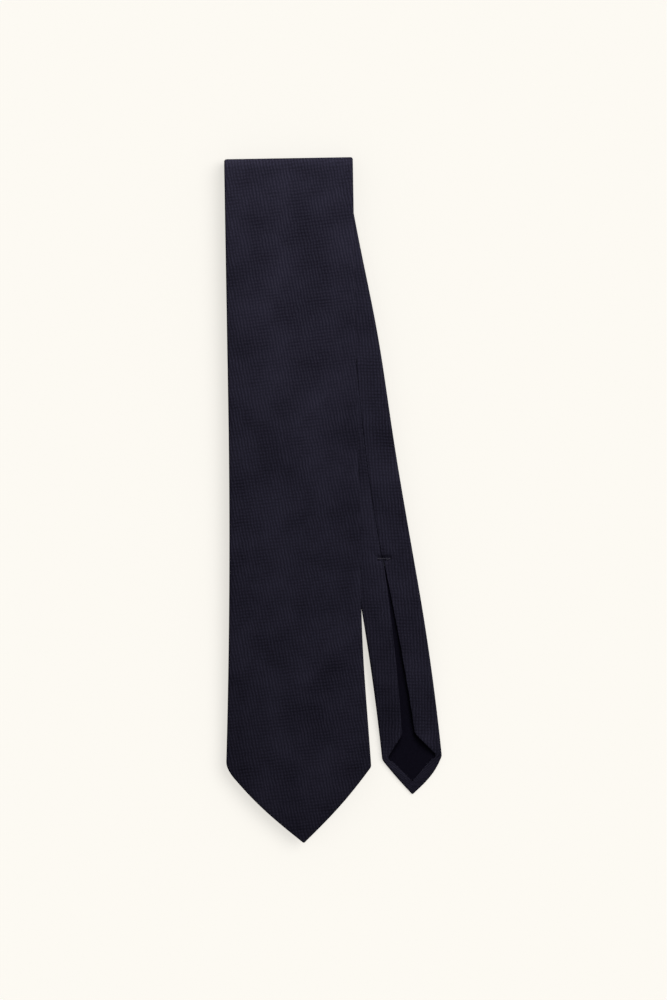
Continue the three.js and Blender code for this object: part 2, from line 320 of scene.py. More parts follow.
@dataclass(frozen=True)
class TwillLining:
    """Dark tipping in a fine twill with a low gloss; its darkness is partly the lining's own tone and
    partly painted shade for the pocket it lies in.
    """

    name: str = "dark_tipping_twill"
    line: float = 0.55
    # Partly the lining's own dark navy and partly painted shade: darkened so that the pocket under the
    # flaps looks shaded.
    colour: tuple[float, float, float] = (0.0060, 0.0053, 0.0102)

    def make(self) -> bpy.types.Material:
        """Builds the material.

        Returns:
            The lining.
        """
        graph = Graph(self.name)
        place, across, along = graph.cloth_place(22.0)
        lines = ((across + along) * (TURN / self.line)).cosine() * 0.5 + 0.5
        slub = graph.noise(place, 0.8, 3.0)
        shade = (lines * 0.45 + slub * 0.6 - 0.1).clamped()
        graph.set(
            Base_Color=graph.between(shade, self.colour, 0.6, 1.5),
            Roughness=0.62 - lines * 0.12,
            Specular_IOR_Level=0.0,
            Normal=graph.bump(lines * 0.5 + slub * 0.5, 0.08),
        )
        return graph.material


@dataclass(frozen=True)
class BrushedWool:
    """Grey interlining, brushed, with a loose plain weave."""

    name: str = "brushed_wool"
    colour: tuple[float, float, float] = (0.20, 0.195, 0.205)

    def make(self) -> bpy.types.Material:
        """Builds the material.

        Returns:
            The wool.
        """
        graph = Graph(self.name)
        place, across, along = graph.cloth_place(45.0)
        weave = (across * (TURN / 0.9)).cosine() * (along * (TURN / 0.9)).cosine() * 0.5 + 0.5
        fuzz = graph.noise(place, 1.9, 5.0)
        shade = (weave * 0.35 + fuzz * 0.6).clamped()
        graph.set(
            Base_Color=graph.between(shade, self.colour, 0.6, 1.3),
            Roughness=0.92 - fuzz * 0.1,
            Specular_IOR_Level=0.2,
            Normal=graph.bump(weave * 0.4 + fuzz * 0.6, 0.12),
        )
        return graph.material


@dataclass(frozen=True)
class TwistedThread:
    """Silk sewing thread, its twist read along the piece's own place, with a painted sheen along the twist
    in its colour.
    """

    name: str
    colour: tuple[float, float, float]
    gloss: float = 0.45

    def make(self) -> bpy.types.Material:
        """Builds the material.

        Returns:
            The thread.
        """
        graph = Graph(self.name)
        place = graph.node("ShaderNodeTexCoord", {}, {}, "Object")
        factors = {0: place, 1: (1 / MM, 1.7 / MM, 1 / MM)}
        scaled = graph.node("ShaderNodeVectorMath", {"operation": "MULTIPLY"}, factors)
        settings = {"wave_type": "BANDS", "bands_direction": "DIAGONAL"}
        waves = {"Vector": scaled, "Scale": 1.6, "Distortion": 0.6}
        twist = graph.node("ShaderNodeTexWave", settings, waves, 1)
        graph.set(
            # Painted sheen: the colour is lighter and darker along the twist's bands; the same bands also
            # set the roughness and the bump.
            Base_Color=graph.between(twist, self.colour, 0.65, 1.25),
            Roughness=self.gloss + twist * 0.15,
            Specular_IOR_Level=0.35,
            Normal=graph.bump(twist, 0.05),
        )
        return graph.material


def make_finishes() -> dict[Slot, bpy.types.Material]:
    """Makes each finish once.

    Returns:
        The materials by slot.
    """
    return {
        Slot.SHELL: HopsackSilk().make(),
        Slot.LINING: TwillLining().make(),
        Slot.WOOL: BrushedWool().make(),
        Slot.TACK: TwistedThread("tack_silk_thread", (0.019, 0.017, 0.029)).make(),
        Slot.SEWING: TwistedThread("navy_sewing_thread", (0.012, 0.011, 0.022), 0.55).make(),
    }


# ---- cloth as a closed mesh ----


def ramp(value: float, start: float, end: float) -> float:
    """Smooth step of a value between start and end, from 0 to 1."""
    share = min(1.0, max(0.0, (value - start) / (end - start)))
    return share * share * (3 - 2 * share)


def between(low: float, high: float, share: float) -> float:
    """A number a share of the way from low to high, held between them."""
    return low + (high - low) * min(1.0, max(0.0, share))


def spread(start: float, end: float, step: float) -> list[float]:
    """Numbers from start to end, about a step apart."""
    count = max(1, round(abs(end - start) / step))
    return [start + (end - start) * i / count for i in range(count + 1)]


def unit(vectors: Grid) -> Grid:
    """Vectors of length one."""
    return vectors / np.maximum(np.linalg.norm(vectors, axis=-1, keepdims=True), 1e-9)


@dataclass(frozen=True)
class Station:
    """One place along a leaf: where its face lies and which way the cloth goes."""

    along_strip: float
    face: tuple[float, float, float]
    across: tuple[float, float, float] = (1.0, 0.0, 0.0)
    inward: tuple[float, float, float] = (0.0, 0.0, 1.0)
    shear: tuple[float, float, float] = (0.0, 0.0, 0.0)

    def place(self, section: Grid, sink: Callable[[float], float]) -> Grid:
        """Sets a section up in space.

        Args:
            section: points as distance across and height from the face.
            sink: how far the cloth sinks at a distance across.

        Returns:
            The points.
        """
        u, h = section[:, :1], section[:, 1:2]
        directions = [np.array([x]) for x in (self.across, self.inward, self.shear)]
        points = np.array([self.face]) + u * directions[0] + h * directions[1] + u * directions[2]
        points[:, 2] -= [sink(x) for x in section[:, 0]]
        return points


@dataclass
class Cloth:
    """A thin closed cloth on the grid of its middle surface."""

    name: str
    grid: Grid
    flat: Grid
    thickness: float

    def size(self) -> tuple[tuple[float, float], float]:
        """Measures the cut.

        Returns:
            Its flat width and length, and its area, in metres.
        """
        ways = np.linalg.norm(np.diff(self.grid, axis=1), axis=2)
        runs = np.linalg.norm(np.diff(self.grid, axis=0), axis=2)
        down, over = np.diff(self.grid, axis=0)[:, :-1], np.diff(self.grid, axis=1)[:-1]
        area = np.linalg.norm(np.cross(down, over), axis=2).sum()
        width, length = ways.sum(axis=1).max(), runs.sum(axis=0).max()
        return (width * MM, length * MM), min(area, width * length) * MM * MM

    def build(self, material: bpy.types.Material) -> bpy.types.Object:
        """Makes the closed mesh.

        Args:
            material: its finish.

        Returns:
            The object, in metres.
        """
        rows, columns = self.grid.shape[:2]
        normal = unit(np.cross(np.gradient(self.grid, axis=0), np.gradient(self.grid, axis=1)))
        half = normal * self.thickness / 2
        points = np.concatenate([(self.grid + half).reshape(-1, 3), (self.grid - half).reshape(-1, 3)])
        index = np.arange(rows * columns).reshape(rows, columns)
        far = rows * columns
        corners = [index[:-1, :-1], index[1:, :-1], index[1:, 1:], index[:-1, 1:]]
        upper = np.stack(corners, axis=-1).reshape(-1, 4)
        rim = np.concatenate([index[0], index[1:, -1], index[-1, -2::-1], index[-2:0:-1, 0]])
        ahead = np.roll(rim, -1)
        side = np.stack([rim, ahead, ahead + far, rim + far], axis=-1)
        faces = np.concatenate([upper, upper[:, ::-1] + far, side])
        mesh = bpy.data.meshes.new(self.name)
        mesh.from_pydata((points * MM).tolist(), [], faces.tolist())
        wanted = np.concatenate([self.flat.reshape(-1, 2)] * 2)[faces.ravel()]
        mesh.uv_layers.new(name=CLOTH_MAP).data.foreach_set("uv", wanted.ravel())
        mesh.materials.append(material)
        mesh.validate()
        mesh.shade_smooth()
        border = set(zip(rim.tolist(), ahead.tolist())) | set(zip(ahead.tolist(), rim.tolist()))
        for edge in mesh.edges:
            pair = tuple(x % far for x in edge.vertices)
            edge.use_edge_sharp = pair in border
        return link_new(self.name, mesh)


@dataclass(frozen=True)
class FlapShape:
    """How the two flaps lie at one station of a sleeve."""

    left: float
    right: float
    left_edge: float
    right_edge: float
    seam: float
    height: float = 2.6
    dip: float = 0.0
    lift: float = 0.0
    pinch: float = 0.0
    pucker: Edge = (0.0, 0.0)


@dataclass(frozen=True)
class Sleeve:
    """The folded shell: a face sheet turned over at both edges, with its flaps turned under."""

    cloth: float = 0.28
    fold_radius: float = 0.17
    fold_columns: int = 5
    turned_under: float = 5.0
    turned_columns: int = 4
    face_columns: int = 30
    flap_columns: int = 16
    turn_columns: int = 7
    spacing: float = 1.7

    def _flap(self, shape: FlapShape, turn_u: float, edge: float, side: int) -> list[Edge]:
        """A flap from its turned edge to its raw edge.

        Args:
            shape: the station's flaps.
            turn_u: where the turned edge ends.
            edge: where the flap's folded edge lies.
            side: -1 for the left flap and 1 for the right one.

        Returns:
            Its points across and their heights.
        """
        top = shape.height - self.cloth / 2
        fold = self.fold_radius

        def level(u: float) -> float:
            """Height of the flap's middle surface.

            Args:
                u: distance across.

            Returns:
                The height, with the seam's dip, the mouth's lift, the tack's pinch and its pucker.
            """
            dip = shape.dip * ramp(u, shape.seam - 2.4, shape.seam - 0.4) if side < 0 else 0.0
            reach = min(9.0, 0.8 * abs(edge - turn_u))
            lift = shape.lift * ramp(abs(edge - u), reach, 0.0)
            pinch = shape.pinch * math.exp(-(((u - shape.seam - 0.5) / 4.4) ** 4))
            place, depth = shape.pucker
            crease = depth * math.exp(-(((u - place) / 1.1) ** 2)) if side < 0 else 0.0
            return top - dip + lift - pinch - crease

        points = []
        for i in range(self.flap_columns):
            share = 1 - (1 - i / (self.flap_columns - 1)) ** self.spacing
            u = between(turn_u, edge, share)
            points.append((u, level(u)))
        for i in range(1, self.fold_columns + 1):
            angle = math.pi * i / self.fold_columns
            height = level(edge) - fold + fold * math.cos(angle)
            points.append((edge - side * fold * math.sin(angle), height))
        back = min(self.turned_under, 0.55 * abs(edge - turn_u))
        for i in range(1, self.turned_columns + 1):
            u = edge + side * back * i / self.turned_columns
            points.append((u, level(u) - 2 * fold))
        return points

    def section(self, shape: FlapShape) -> tuple[Grid, Grid]:
        """The middle line of the cloth at one station.

        Args:
            shape: where the edges and flaps lie.

        Returns:
            Its points across and in height, and their places across the flat cloth.
        """
        low, high = self.cloth / 2, shape.height - self.cloth / 2
        rise = (high - low) / 2
        reach = min(rise, 0.22 * (shape.right - shape.left))
        ends = (shape.left + self.cloth / 2 + reach, shape.right - self.cloth / 2 - reach)
        turns = []
        for side, u in ((-1, ends[0]), (1, ends[1])):
            angles = [math.pi * i / self.turn_columns for i in range(1, self.turn_columns)]
            arc = [(u + side * reach * math.sin(a), low + rise - rise * math.cos(a)) for a in angles]
            edge = shape.left_edge if side < 0 else shape.right_edge
            turns.append(arc + self._flap(shape, u, edge, side))
        face = [(between(*ends, i / (self.face_columns - 1)), low) for i in range(self.face_columns)]
        points = np.array(turns[0][::-1] + face + turns[1])
        steps = np.linalg.norm(np.diff(points, axis=0), axis=1)
        lengths = np.concatenate([[0], np.cumsum(steps)])
        middle = len(turns[0]) + self.face_columns // 2
        return points, lengths - lengths[middle] + points[middle, 0]

    def face_slice(self) -> slice:
        """The columns of the face sheet."""
        start = self.turn_columns - 1 + self.flap_columns + self.fold_columns + self.turned_columns
        return slice(start, start + self.face_columns)


SLEEVE = Sleeve()
WAVE_TURN = 9.0


def zero(*_: float) -> float:
    """No sinking, or no relief."""
    return 0.0


def sew_sleeve(
    name: str,
    stations: Sequence[Station],
    shapes: Sequence[FlapShape],
    sinks: Sequence[Callable[[float], float]],
    relief: Callable[[float, float], float] = zero,
) -> Cloth:
    """Lofts the folded shell along its stations.

    Args:
        name: the piece's name.
        stations: the places along the strip.
        shapes: the flaps at each.
        sinks: how the cloth sinks at each.
        relief: how far the face sheet stands out, by distance across and along.

    Returns:
        The cloth.
    """
    rows, flats = [], []
    for station, shape, sink in zip(stations, shapes, sinks):
        section, flat = SLEEVE.section(shape)
        face = section[SLEEVE.face_slice()]
        face[:, 1] -= [relief(u, station.along_strip) for u in face[:, 0]]
        rows.append(station.place(section, sink))
        flats.append(np.stack([flat, np.full(len(flat), station.along_strip)], axis=1))
    return Cloth(name, np.array(rows), np.array(flats), SLEEVE.cloth)


def lay_sheet(
    name: str,
    stations: Sequence[Station],
    edges: Sequence[Edge],
    level: float,
    thickness: float,
    sinks: Sequence[Callable[[float], float]],
    wave: float = 0.0,
    columns: int = 13,
) -> Cloth:
    """Lays a flat sheet inside the shell.

    Args:
        name: the piece's name.
        stations: the places along the strip.
        edges: its left and right edge at each.
        level: its height from the face.
        thickness: the cloth's thickness.
        sinks: how it sinks at each.
        wave: how far it waves up and down across.
        columns: points across.

    Returns:
        The cloth.
    """
    rows, flats = [], []
    turns = [WAVE_TURN * (2 * i / (columns - 1) - 1) for i in range(columns)]
    heights = [level + wave * math.cos(turn) for turn in turns]
    for station, (left, right), sink in zip(stations, edges, sinks):
        across = [between(left, right, i / (columns - 1)) for i in range(columns)]
        section = np.array(list(zip(across, heights)))
        rows.append(station.place(section, sink))
        flats.append(np.array([(u, station.along_strip) for u in across]))
    return Cloth(name, np.array(rows), np.array(flats), thickness)


@dataclass(frozen=True)
class Crease:
    """Where a leaf folds: its middle point and how it leans, in degrees."""

    x: float
    y: float
    lean: float

    def across(self) -> tuple[float, float, float]:
        """Direction along the crease."""
        return (math.cos(math.radians(self.lean)), math.sin(math.radians(self.lean)), 0.0)

    def point(self, down: float, level: float, aside: float = 0.0) -> tuple[float, float, float]:
        """A point so far down from the crease, at a level above the table and aside along the crease."""
        cos, sin, _ = self.across()
        return (self.x + down * sin + aside * cos, self.y - down * cos + aside * sin, level)

    def leaf(self, down: float, level: float, up: bool) -> Station:
        """A station on a flat leaf, down from the crease; its seam side may be up."""
        return Station(down, self.point(down, level), self.across(), (0.0, 0.0, 1.0 if up else -1.0))

    def wrap(self, angle: float, axis: float, radius: float, outside: bool, along: float) -> Station:
        """A station on the half-round wrap at the crease.

        Args:
            angle: from -90 degrees at the lower leaf to 90 at the upper one, in radians.
            axis: height of the wrap's axis.
            radius: radius of the face.
            outside: True where the face is on the outside.
            along: distance along the strip.

        Returns:
            The station.
        """
        out, rise = math.cos(angle), math.sin(angle)
        cos, sin, _ = self.across()
        way = -1.0 if outside else 1.0
        inward = (-sin * out * way, cos * out * way, rise * way)
        return Station(along, self.point(-radius * out, axis + radius * rise), self.across(), inward)


def midway(first: Crease, second: Crease, share: float, level: float, up: bool, along: float) -> Station:
    """A station on the straight run between two creases.

    Args:
        first: where the run starts.
        second: where it ends.
        share: how far along it is.
        level: height of the face.
        up: True where the seam side is on top.
        along: distance along the strip.

    Returns:
        The station.
    """
    names = ("x", "y", "lean")
    crease = Crease(*(between(getattr(first, n), getattr(second, n), share) for n in names))
    return Station(along, crease.point(0, level), crease.across(), (0.0, 0.0, 1.0 if up else -1.0))


# ---- the pile's plan ----

JOINTS = {joint["name"]: joint for joint in frame["record"]["behaviour"]["joints"]}
LEAF = 2.6
CLEAR = 0.3
PITCH = LEAF + CLEAR
TAIL_Z = 2 * PITCH
BLADE_Z = 3 * PITCH
TOP_AXIS_Z = 2 * PITCH - CLEAR / 2
NECK_AXIS_Z = PITCH - CLEAR / 2
FOLD_REACH = 15.0
WRAP_STEPS = 22


def crease_at(joint: str, lean: float) -> Crease:
    """The crease on which a joint stands, with its lean in degrees."""
    x, y, _ = JOINTS[joint]["pos_m"]
    return Crease(x / MM, y / MM, lean)


BLADE_CREASE = crease_at("blade_lift", 0.97)
TAIL_CREASE = crease_at("tail_fan", 3.86)
NECK_CREASE = Crease(-18.6, -162.0, -0.26)
REAR_LENGTH = BLADE_CREASE.y - NECK_CREASE.y
TAIL_RISE = math.hypot(TAIL_CREASE.x - NECK_CREASE.x, TAIL_CREASE.y - NECK_CREASE.y)
NECK_HALF = 18.0
REAR_TAIL_HALF = 17.3
SEAM_DIP = 0.64
SEAM_LAP = 3.0
INTERLINING_LEVEL = 0.62
INTERLINING = 0.4
TIPPING_LEVEL = 1.0
TIPPING = 0.15
WOOL_MARGIN = 1.6
SLIP_PLACE = (-0.35, LEAF - 0.42)


@dataclass(frozen=True)
class LeafPlan:
    """Outline of a pointed leaf and of its flaps, by distance below its crease.

    The flaps meet in a seam down to the tack, part in a slit and a mouth below it, and in the point
    they are the turned hem. The pinch and the pucker are how the tack draws the cloth in.
    """

    fold_half: float
    corner_half: float
    flare_start: float
    corner: float
    apex: float
    apex_shift: float
    tack: float
    mouth: float
    mouth_left: float
    mouth_right: float
    hem: float
    mitre: float
    tipping_start: float
    lean: float = 0.0
    bend_start: float = 0.0
    bend: float = 0.0
    rounding: Edge = (0.5, 0.5)
    bulge: Edge = (0.0, 0.0)
    swell: tuple[float, float, float] = (0.0, 1.0, 0.0)
    lift: float = 0.0
    seam_drift: float = 0.0
    slit_down: float = 1.8
    slit_half: float = 0.4
    corner_hem: float = 2.0
    hem_drop: float = 0.5
    tip_drop: float = 0.75
    pinch: float = 1.1
    pinch_down: float = 0.8
    pinch_reach: float = 1.6
    pucker: float = 0.42
    pucker_aside: float = 3.0
    pucker_slope: float = 0.62

    def centre(self, v: float) -> float:
        """The leaf's centre line."""
        return self.lean * v - self.bend * max(0.0, v - self.bend_start) ** 2

    def half(self, v: float) -> float:
        """Half the leaf's width above its corners."""
        flare = min(1.0, max(0.0, (v - self.flare_start) / (self.corner - self.flare_start)))
        return between(self.fold_half, self.corner_half, flare * flare if self.flare_start else flare)

    def middle(self, v: float) -> float:
        """The line that runs to the apex.

        Args:
            v: distance below the crease.

        Returns:
            Its place across.
        """
        tip = (v - self.corner) / (self.apex - self.corner)
        low = self.centre(self.corner) + self.apex_shift
        return between(self.centre(min(v, self.corner)), low, tip)

    def edges(self, v: float) -> Edge:
        """Left and right edge, with rounded corners.

        Args:
            v: distance below the crease.

        Returns:
            Their places across.
        """
        tip = min(1.0, max(0.0, (v - self.corner) / (self.apex - self.corner)))
        centre, reach, size = self.swell
        sides = []
        for side, (rounding, bulge) in enumerate(zip(self.rounding, self.bulge)):
            straight = self.half(v)
            if side:
                straight += size * math.exp(-(((v - centre) / reach) ** 2))
            point = self.corner_half * (self.apex - v) / (self.apex - self.corner)
            point += bulge * math.sin(math.pi * tip)
            blend = max(0.0, rounding - abs(straight - point)) / rounding
            sides.append(min(straight, point) - blend * blend * rounding / 4)
        return self.middle(v) - sides[0], self.middle(v) + sides[1]

    def seam(self, v: float) -> float:
        """Where the seam lies, off the centre line near the fold."""
        return self.middle(v) + min(5.0, self.seam_drift * max(0.0, self.tack - 8 - v) ** 2)

    def flap_edge(self, v: float, side: int) -> float:
        """The folded edge of a flap, and in the point that of the turned hem.

        Args:
            v: distance below the crease.
            side: -1 for the left flap and 1 for the right one.

        Returns:
            Its place across.
        """
        mouth = self.mouth_left if side < 0 else self.mouth_right
        wide = self.corner_half - self.hem
        closed = self.apex - self.mitre
        lap = SEAM_LAP if side < 0 else -0.2
        parted = self.tack + self.slit_down
        if v <= parted:
            away = between(lap, side * self.slit_half, ramp(v, self.tack - 3, parted))
            return self.seam(v) + away
        if v <= self.mouth:
            away = between(self.slit_half, mouth, ((v - parted) / (self.mouth - parted)) ** 1.05)
        elif v <= self.corner:
            low = (v - self.mouth) / (self.corner - self.mouth)
            away = between(mouth, self.corner_half - self.corner_hem, low)
        else:
            away = between(wide, 0.15, (v - self.corner) / (closed - self.corner))
            away += (self.hem - self.corner_hem) * (1 - ramp(v, self.corner, self.corner + 1.8))
        return self.middle(v) + side * away

    def shape(self, v: float) -> FlapShape:
        """The flaps at one station.

        Args:
            v: distance below the crease.

        Returns:
            Their edges and heights.
        """
        left, right = self.edges(v)
        least = 0.1 * (right - left)
        left_edge = max(self.flap_edge(v, -1), left + least)
        right_edge = min(self.flap_edge(v, 1), right - least)
        height = LEAF - self.hem_drop * ramp(v, self.corner - 2, self.corner + 1)
        height -= self.tip_drop * ramp(v, self.corner + 1, self.apex)
        dip = SEAM_DIP * (1 - ramp(v, self.tack - 2, self.tack + 9))
        lift = self.lift * ramp(v, self.tack + 8, self.mouth - 12)
        lift *= 1 - ramp(v, self.mouth + 4, self.corner - 1)
        pinch = self.pinch * math.exp(-(((v - self.tack - self.pinch_down) / self.pinch_reach) ** 2))
        above = self.tack - v
        place = self.seam(v) - self.pucker_aside - self.pucker_slope * above
        depth = self.pucker * ramp(above, 9.5, 2.0) * ramp(above, -1.5, 0.5)
        edges = (left, right, left_edge, right_edge)
        return FlapShape(*edges, self.seam(v), height, dip, lift, pinch, (place, depth))

    def rows(self, start: float) -> list[float]:
        """Stations of the shell, close together at the tack and in the point.

        Args:
            start: where the shell starts.

        Returns:
            Distances below the crease.
        """
        ends = (start, self.tack - 10, self.tack + 5, self.corner - 4, self.apex - 0.35)
        body = [start]
        for first, last, step in zip(ends, ends[1:], (2.0, 0.6, 2.0, 0.8)):
            body += spread(first, last, step)[1:]
        return body


def even_shape(half: float, seam: float = 0.0) -> FlapShape:
    """A closed sleeve of even width, its seam so far off the centre line."""
    return FlapShape(-half, half, seam + SEAM_LAP, seam - 0.2, seam, LEAF, SEAM_DIP)


def rear_blade_half(v: float) -> float:
    """Half the width of the rear blade."""
    return between(BLADE_PLAN.fold_half, NECK_HALF, v / REAR_LENGTH)


def rear_tail_half(w: float) -> float:
    """Half the width of the rear tail, by distance above the neck."""
    return between(NECK_HALF, REAR_TAIL_HALF, w / TAIL_RISE)


BLADE_PLAN = LeafPlan(
    fold_half=35.4, corner_half=40.0, flare_start=130.0, corner=329.5, apex=371.0, apex_shift=2.1,
    tack=244.0, mouth=296.0, mouth_left=9.0, mouth_right=9.0, hem=5.5, mitre=9.0, tipping_start=262.0,
    rounding=(4.0, 0.8), bulge=(2.6, 1.8), swell=(262.0, 45.0, -1.1), lift=0.5,
)
TAIL_PLAN = LeafPlan(
    fold_half=17.1, corner_half=16.5, flare_start=0.0, corner=324.4, apex=344.5, apex_shift=-1.15,
    tack=213.0, mouth=311.0, mouth_left=4.3, mouth_right=3.3, hem=4.2, mitre=7.0, tipping_start=232.0,
    lean=0.108, bend_start=228.0, bend=0.00037, seam_drift=0.0005,
    rounding=(0.9, 0.5), bulge=(0.4, 2.4), swell=(92.0, 48.0, 1.7), lift=1.1,
)
EDGE_SAG = (2.6, 0.4)
TIP_SAG = 2.0
WAVE_HEIGHT, WAVE_WIDTH, WAVE_LENGTH = 0.4, 34.0, 58.0
SHOULDER, SHOULDER_REACH, WRAP_REACH = 0.3, 24.0, 7.0
HEM_LINE, HEM_LINE_SPREAD, HEM_DIMPLE_PITCH = 4.4, 0.9, 4.6
KNOT = (2.9, 358.5)


def blade_sink(v: float) -> Callable[[float], float]:
    """How the blade settles towards its edges and tip, and waves a little.

    Args:
        v: distance below its crease.

    Returns:
        The drop at a distance across.
    """
    wide = between(0.0, 1.0, v / BLADE_PLAN.corner) ** 2
    tip = between(0.0, 1.0, (v - REAR_LENGTH) / (BLADE_PLAN.apex - REAR_LENGTH)) ** 2
    wave = WAVE_HEIGHT * ramp(v, FOLD_REACH, 70)

    def drop(u: float) -> float:
        """The drop at a distance across."""
        sag = EDGE_SAG[int(u >= 0)] * wide * abs(u) / BLADE_PLAN.corner_half
        swell = 0.5 + 0.5 * noise.noise(Vector((u / WAVE_WIDTH, v / WAVE_LENGTH, 0.7)))
        return sag + TIP_SAG * tip - wave * swell

    return drop


def tail_sink(v: float) -> Callable[[float], float]:
    """How the tail comes down to the table where it has left the pile, the same all across."""
    droop = (TAIL_Z - CLEAR) * ramp(v, 236, 322)
    return lambda u: droop


def blade_relief(u: float, v: float) -> float:
    """The soft shoulder by the fold, and the faint line of dimples that the hem makes.

    Args:
        u: distance across.
        v: distance below the crease.

    Returns:
        How far the face stands out.
    """
    if v < SHOULDER_REACH:
        return -SHOULDER * (ramp(v, -WRAP_REACH, 0) if v < 0 else (1 - v / SHOULDER_REACH) ** 2)
    left, right = BLADE_PLAN.edges(v)
    slope = math.atan2(BLADE_PLAN.corner_half, BLADE_PLAN.apex - BLADE_PLAN.corner)
    inside = min(u - left, right - u) * math.cos(slope)
    if v < BLADE_PLAN.corner or inside < 0.6:
        return 0.0
    line = math.exp(-(((inside - HEM_LINE) / HEM_LINE_SPREAD) ** 2))
    stitch = (0.5 + 0.5 * math.cos(TURN * v / HEM_DIMPLE_PITCH)) ** 3
    knot = math.exp(-((u - KNOT[0]) ** 2 + (v - KNOT[1]) ** 2) / 3.0)
    return -line * (0.07 + 0.16 * stitch) - 0.3 * knot


# ---- stitches ----


@dataclass(frozen=True)
class Stitch:
    """One kind of hand stitch, repeated along a line."""

    pitch: float
    length: float
    thickness: float
    turn: float = 0.0


class Needle(Wiring):
    """Sews stitches along a path with one Geometry Nodes tree."""

    def __init__(self) -> None:
        """Builds the tree: its inputs first, and then its nodes."""
        super().__init__(bpy.data.node_groups.new("stitches_on_path", "GeometryNodeTree"))
        self.inputs: dict[str, str] = {}
        for name, kind in (
            ("Path", "NodeSocketGeometry"),
            ("Pitch", "NodeSocketFloat"),
            ("Size", "NodeSocketVector"),
            ("Turn", "NodeSocketFloat"),
            ("Wobble", "NodeSocketFloat"),
            ("Thread", "NodeSocketMaterial"),
        ):
            item = self.tree.interface.new_socket(name, in_out="INPUT", socket_type=kind)
            self.inputs[name] = item.identifier
        self.tree.interface.new_socket("Stitches", in_out="OUTPUT", socket_type="NodeSocketGeometry")
        self._wire()

    def _wire(self) -> None:
        """Wires the tree: a small rounded stitch at each step of the path."""
        entry = self.add("NodeGroupInput", {}, {}).outputs
        line = self.add("GeometryNodeMeshToCurve", {}, {"Mesh": entry["Path"]}).outputs[0]
        sockets = {"Curve": line, "Length": entry["Pitch"]}
        steps = self.add("GeometryNodeCurveToPoints", {"mode": "LENGTH"}, sockets).outputs
        sockets = {"Segments": 8, "Rings": 6, "Radius": 0.5}
        ball = self.add("GeometryNodeMeshUVSphere", {}, sockets).outputs["Mesh"]
        sockets = {"Geometry": ball, "Scale": entry["Size"]}
        bead = self.add("GeometryNodeTransform", {}, sockets).outputs[0]
        sockets = {"Vector": steps["Tangent"]}
        along = self.add("FunctionNodeAlignRotationToVector", {"axis": "X"}, sockets).outputs[0]
        sway = self.add("FunctionNodeRandomValue", {"data_type": "FLOAT"}, {"Seed": 7}).outputs[1]
        half = self.add("ShaderNodeMath", {"operation": "SUBTRACT"}, {0: sway, 1: 0.5}).outputs[0]
        sockets = {0: half, 1: entry["Wobble"], 2: entry["Turn"]}
        swing = self.add("ShaderNodeMath", {"operation": "MULTIPLY_ADD"}, sockets).outputs[0]
        sockets = {"Axis": (0.0, 0.0, 1.0), "Angle": swing}
        turn = self.add("FunctionNodeAxisAngleToRotation", {}, sockets).outputs[0]
        settings, sockets = {"rotation_space": "LOCAL"}, {"Rotation": along, "Rotate By": turn}
        turned = self.add("FunctionNodeRotateRotation", settings, sockets).outputs[0]
        sockets = {"Points": steps["Points"], "Instance": bead, "Rotation": turned}
        stitches = self.add("GeometryNodeInstanceOnPoints", {}, sockets).outputs[0]
        real = self.add("GeometryNodeRealizeInstances", {}, {"Geometry": stitches}).outputs[0]
        sockets = {"Geometry": real, "Material": entry["Thread"]}
        dyed = self.add("GeometryNodeSetMaterial", {}, sockets).outputs[0]
        self.add("NodeGroupOutput", {}, {0: dyed})

    def sew(
        self, name: str, path: Sequence[Sequence[float]], stitch: Stitch, thread: bpy.types.Material
    ) -> bpy.types.Object:
        """Sews one line of stitches.

        Args:
            name: the piece's name.
            path: the line's points, in millimetres.
            stitch: the kind of stitch.
            thread: its finish.

        Returns:
            The stitches as one plain mesh.
        """
        guide_mesh = bpy.data.meshes.new(name + "_guide")
        points = [tuple(x * MM for x in p) for p in path]
        guide_mesh.from_pydata(points, [(i, i + 1) for i in range(len(points) - 1)], [])
        guide = link_new(name + "_guide", guide_mesh)
        modifier = guide.modifiers.new("stitches", "NODES")
        modifier.node_group = self.tree
        thickness = stitch.thickness * MM
        values = {
            "Pitch": stitch.pitch * MM,
            "Size": (stitch.length * MM, thickness, thickness),
            "Turn": math.radians(stitch.turn),
            "Wobble": 0.25,
            "Thread": thread,
        }
        for key, value in values.items():
            modifier[self.inputs[key]] = value
        graph = bpy.context.evaluated_depsgraph_get()
        mesh = bpy.data.meshes.new_from_object(guide.evaluated_get(graph))
        mesh.name = name
        mesh.shade_smooth()
        bpy.data.objects.remove(guide)
        bpy.data.meshes.remove(guide_mesh)
        return link_new(name, mesh)


SLIP_STITCH = Stitch(pitch=9.0, length=2.2, thickness=0.28, turn=28.0)
HEM_STITCH = Stitch(pitch=3.4, length=1.3, thickness=0.26, turn=50.0)
BAR_WRAP = Stitch(pitch=0.36, length=0.85, thickness=0.40, turn=84.0)


# ---- sub-assemblies ----


